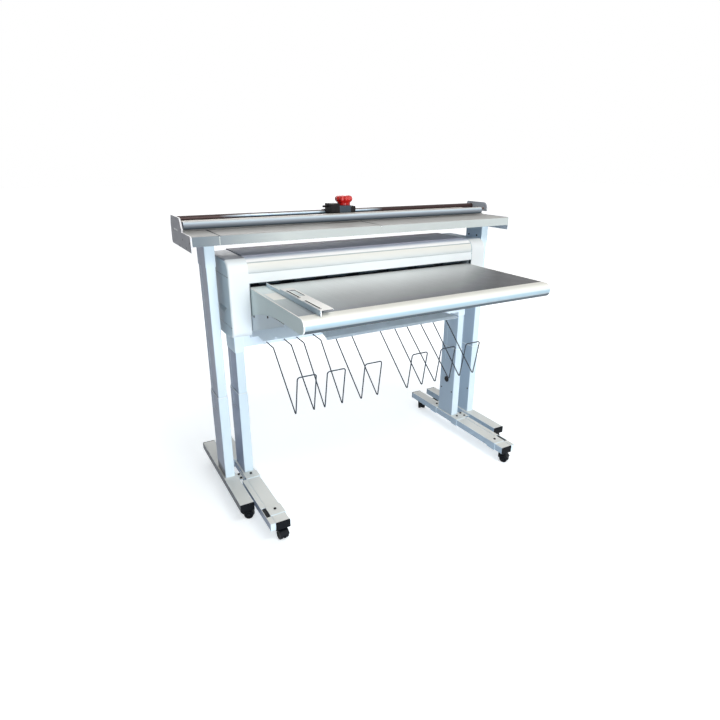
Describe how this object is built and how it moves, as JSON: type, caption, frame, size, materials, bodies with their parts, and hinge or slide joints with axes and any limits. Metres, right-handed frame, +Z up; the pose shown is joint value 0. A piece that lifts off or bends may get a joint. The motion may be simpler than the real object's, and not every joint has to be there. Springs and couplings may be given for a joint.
{
  "type": "plan folding machine",
  "caption": "Plan folding machine on a rolling telescopic stand, with a feed table, hinged curved cover, wire catch basket and a rotary trimmer on a taller stand behind it.",
  "frame": {"origin": "on the floor, under the middle of the whole object's bounding box", "axes": "+X to the right as the operator sees it (longest extent), +Y to the rear, +Z up"},
  "size_m": [1.576, 0.9679, 1.293],
  "materials": {
    "column_paint": "satin",
    "trimmer_paint": "satin",
    "black_plastic": "matt",
    "black_steel": "blackened",
    "white_plastic": "satin",
    "cover_paint": "satin",
    "dark_paint": "matt",
    "plain_steel": "bright",
    "roller_coat": "ground",
    "rail_alloy": "satin anodised",
    "laminate": "satin laminate",
    "bar_chrome": "polished",
    "head_plastic": "fine texture",
    "knob_plastic": "glossy",
    "castor_plastic": "satin",
    "wheel_tread": "satin"
  },
  "bodies": {
    "stand": {"machine_leg_left": "column_paint", "machine_leg_right": "column_paint", "trimmer_leg_left": "column_paint", "trimmer_leg_right": "column_paint", "foot_end_plugs": "black_plastic", "foot_brackets": "column_paint", "stand_bolts": "black_steel", "stand_couplers": "column_paint", "glide_collars": "white_plastic"},
    "machine": {"machine_columns": "column_paint", "crossbeam": "column_paint", "chute_tray": "column_paint", "chute_ramp": "column_paint", "basket_wires_left": "plain_steel", "basket_wires_right": "plain_steel", "end_cap_left": "white_plastic", "end_cap_right": "white_plastic", "top_cover": "dark_paint", "base_pan": "dark_paint", "side_frames": "plain_steel", "roller_bearings": "plain_steel", "drive_motor": "plain_steel", "drive_belt": "black_plastic", "feed_table": "laminate", "table_side_plates": "cover_paint", "table_nose": "rail_alloy"},
    "cover": {"front_cover": "cover_paint", "feed_lip": "cover_paint"},
    "feed_lower": {"feed_roller_lower": "roller_coat"},
    "feed_upper": {"feed_roller_upper": "roller_coat"},
    "fold_front": {"fold_roller_front": "roller_coat"},
    "fold_rear": {"fold_roller_rear": "roller_coat"},
    "motor_shaft": {"motor_pulley": "rail_alloy"},
    "guide": {"paper_guide": "cover_paint"},
    "trimmer": {"trimmer_columns": "trimmer_paint", "trimmer_table": "trimmer_paint", "trimmer_end_plates": "trimmer_paint", "cutting_rail": "rail_alloy", "counter_blade": "plain_steel", "guide_bar": "bar_chrome"},
    "clamp": {"clamp_bar": "rail_alloy"},
    "carriage": {"cutter_carriage": "head_plastic"},
    "knob": {"cutter_knob": "knob_plastic"},
    "blade": {"cutter_blade": "plain_steel"},
    "swivel_machine_front_left": {"castor_fork_machine_front_left": "castor_plastic"},
    "wheels_machine_front_left": {"castor_wheels_machine_front_left": "wheel_tread"},
    "swivel_machine_rear_left": {"castor_fork_machine_rear_left": "castor_plastic"},
    "wheels_machine_rear_left": {"castor_wheels_machine_rear_left": "wheel_tread"},
    "swivel_machine_front_right": {"castor_fork_machine_front_right": "castor_plastic"},
    "wheels_machine_front_right": {"castor_wheels_machine_front_right": "wheel_tread"},
    "swivel_machine_rear_right": {"castor_fork_machine_rear_right": "castor_plastic"},
    "wheels_machine_rear_right": {"castor_wheels_machine_rear_right": "wheel_tread"},
    "swivel_trimmer_front_left": {"castor_fork_trimmer_front_left": "castor_plastic"},
    "wheels_trimmer_front_left": {"castor_wheels_trimmer_front_left": "wheel_tread"},
    "swivel_trimmer_rear_left": {"castor_fork_trimmer_rear_left": "castor_plastic"},
    "wheels_trimmer_rear_left": {"castor_wheels_trimmer_rear_left": "wheel_tread"},
    "swivel_trimmer_front_right": {"castor_fork_trimmer_front_right": "castor_plastic"},
    "wheels_trimmer_front_right": {"castor_wheels_trimmer_front_right": "wheel_tread"},
    "swivel_trimmer_rear_right": {"castor_fork_trimmer_rear_right": "castor_plastic"},
    "wheels_trimmer_rear_right": {"castor_wheels_trimmer_rear_right": "wheel_tread"}
  },
  "joints": [
    {"name": "machine_lift", "type": "slide", "parent": "stand", "child": "machine", "axis": [0, 0, 1], "range_m": [-0.12, 0.02]},
    {"name": "trimmer_lift", "type": "slide", "parent": "stand", "child": "trimmer", "axis": [0, 0, 1], "range_m": [-0.015, 0.15]},
    {"name": "cover_hinge", "type": "hinge", "parent": "machine", "child": "cover", "pos_m": [-0.01, 0.088, 1.075], "axis": [-1, 0, 0], "range_deg": [0, 75]},
    {"name": "fold_front_spin", "type": "hinge", "parent": "machine", "child": "fold_front", "pos_m": [-0.01, 0.15, 0.93], "axis": [1, 0, 0], "continuous": true},
    {"name": "fold_rear_spin", "type": "hinge", "parent": "machine", "child": "fold_rear", "pos_m": [-0.01, 0.2007, 0.93], "axis": [1, 0, 0], "continuous": true},
    {"name": "feed_lower_spin", "type": "hinge", "parent": "machine", "child": "feed_lower", "pos_m": [-0.01, 0.08, 0.9463], "axis": [1, 0, 0], "continuous": true},
    {"name": "feed_upper_spin", "type": "hinge", "parent": "machine", "child": "feed_upper", "pos_m": [-0.01, 0.08, 0.987], "axis": [1, 0, 0], "continuous": true},
    {"name": "motor_spin", "type": "hinge", "parent": "machine", "child": "motor_shaft", "pos_m": [-0.01, 0.238, 0.842], "axis": [1, 0, 0], "continuous": true},
    {"name": "guide_slide", "type": "slide", "parent": "machine", "child": "guide", "axis": [1, 0, 0], "range_m": [-0.05, 0.4]},
    {"name": "clamp_lift", "type": "slide", "parent": "trimmer", "child": "clamp", "axis": [0, 0, 1], "range_m": [-0.0055, 0], "stiffness_N_per_m": 2500, "springref_m": 0.012},
    {"name": "carriage_slide", "type": "slide", "parent": "trimmer", "child": "carriage", "axis": [1, 0, 0], "range_m": [-0.645, 0.735]},
    {"name": "blade_spin", "type": "hinge", "parent": "carriage", "child": "blade", "pos_m": [-0.018, 0.2442, 1.208], "axis": [0, 1, 0], "continuous": true},
    {"name": "knob_press", "type": "slide", "parent": "carriage", "child": "knob", "axis": [0, 0, 1], "range_m": [-0.004, 0], "stiffness_N_per_m": 1500, "springref_m": 0.003},
    {"name": "swivel_machine_front_left", "type": "hinge", "parent": "stand", "child": "swivel_machine_front_left", "pos_m": [-0.615, -0.272, 0.068], "axis": [0, 0, 1], "continuous": true},
    {"name": "roll_machine_front_left", "type": "hinge", "parent": "swivel_machine_front_left", "child": "wheels_machine_front_left", "pos_m": [-0.61343, -0.28993, 0.02], "axis": [0.9962, 0.0872, 0], "continuous": true},
    {"name": "swivel_machine_rear_left", "type": "hinge", "parent": "stand", "child": "swivel_machine_rear_left", "pos_m": [-0.615, 0.417, 0.068], "axis": [0, 0, 1], "continuous": true},
    {"name": "roll_machine_rear_left", "type": "hinge", "parent": "swivel_machine_rear_left", "child": "wheels_machine_rear_left", "pos_m": [-0.61657, 0.43493, 0.02], "axis": [-0.9962, -0.0872, 0], "continuous": true},
    {"name": "swivel_machine_front_right", "type": "hinge", "parent": "stand", "child": "swivel_machine_front_right", "pos_m": [0.591, -0.272, 0.068], "axis": [0, 0, 1], "continuous": true},
    {"name": "roll_machine_front_right", "type": "hinge", "parent": "swivel_machine_front_right", "child": "wheels_machine_front_right", "pos_m": [0.6, -0.28759, 0.02], "axis": [0.866, 0.5, 0], "continuous": true},
    {"name": "swivel_machine_rear_right", "type": "hinge", "parent": "stand", "child": "swivel_machine_rear_right", "pos_m": [0.591, 0.417, 0.068], "axis": [0, 0, 1], "continuous": true},
    {"name": "roll_machine_rear_right", "type": "hinge", "parent": "swivel_machine_rear_right", "child": "wheels_machine_rear_right", "pos_m": [0.6, 0.43259, 0.02], "axis": [-0.866, 0.5, 0], "continuous": true},
    {"name": "swivel_trimmer_front_left", "type": "hinge", "parent": "stand", "child": "swivel_trimmer_front_left", "pos_m": [-0.704, -0.082, 0.068], "axis": [0, 0, 1], "continuous": true},
    {"name": "roll_trimmer_front_left", "type": "hinge", "parent": "swivel_trimmer_front_left", "child": "wheels_trimmer_front_left", "pos_m": [-0.68769, -0.08961, 0.02], "axis": [0.4226, 0.9063, 0], "continuous": true},
    {"name": "swivel_trimmer_rear_left", "type": "hinge", "parent": "stand", "child": "swivel_trimmer_rear_left", "pos_m": [-0.704, 0.417, 0.068], "axis": [0, 0, 1], "continuous": true},
    {"name": "roll_trimmer_rear_left", "type": "hinge", "parent": "swivel_trimmer_rear_left", "child": "wheels_trimmer_rear_left", "pos_m": [-0.68841, 0.426, 0.02], "axis": [-0.5, 0.866, 0], "continuous": true},
    {"name": "swivel_trimmer_front_right", "type": "hinge", "parent": "stand", "child": "swivel_trimmer_front_right", "pos_m": [0.704, -0.082, 0.068], "axis": [0, 0, 1], "continuous": true},
    {"name": "roll_trimmer_front_right", "type": "hinge", "parent": "swivel_trimmer_front_right", "child": "wheels_trimmer_front_right", "pos_m": [0.71557, -0.09579, 0.02], "axis": [0.766, 0.6428, 0], "continuous": true},
    {"name": "swivel_trimmer_rear_right", "type": "hinge", "parent": "stand", "child": "swivel_trimmer_rear_right", "pos_m": [0.704, 0.417, 0.068], "axis": [0, 0, 1], "continuous": true},
    {"name": "roll_trimmer_rear_right", "type": "hinge", "parent": "swivel_trimmer_rear_right", "child": "wheels_trimmer_rear_right", "pos_m": [0.70087, 0.43473, 0.02], "axis": [-0.9848, -0.1736, 0], "continuous": true}
  ],
  "couplings": [
    {"joint": "fold_rear_spin", "follows": "fold_front_spin", "ratio": -1},
    {"joint": "feed_lower_spin", "follows": "fold_front_spin", "ratio": 1},
    {"joint": "feed_upper_spin", "follows": "fold_front_spin", "ratio": -1},
    {"joint": "motor_spin", "follows": "fold_front_spin", "ratio": 1.8}
  ]
}
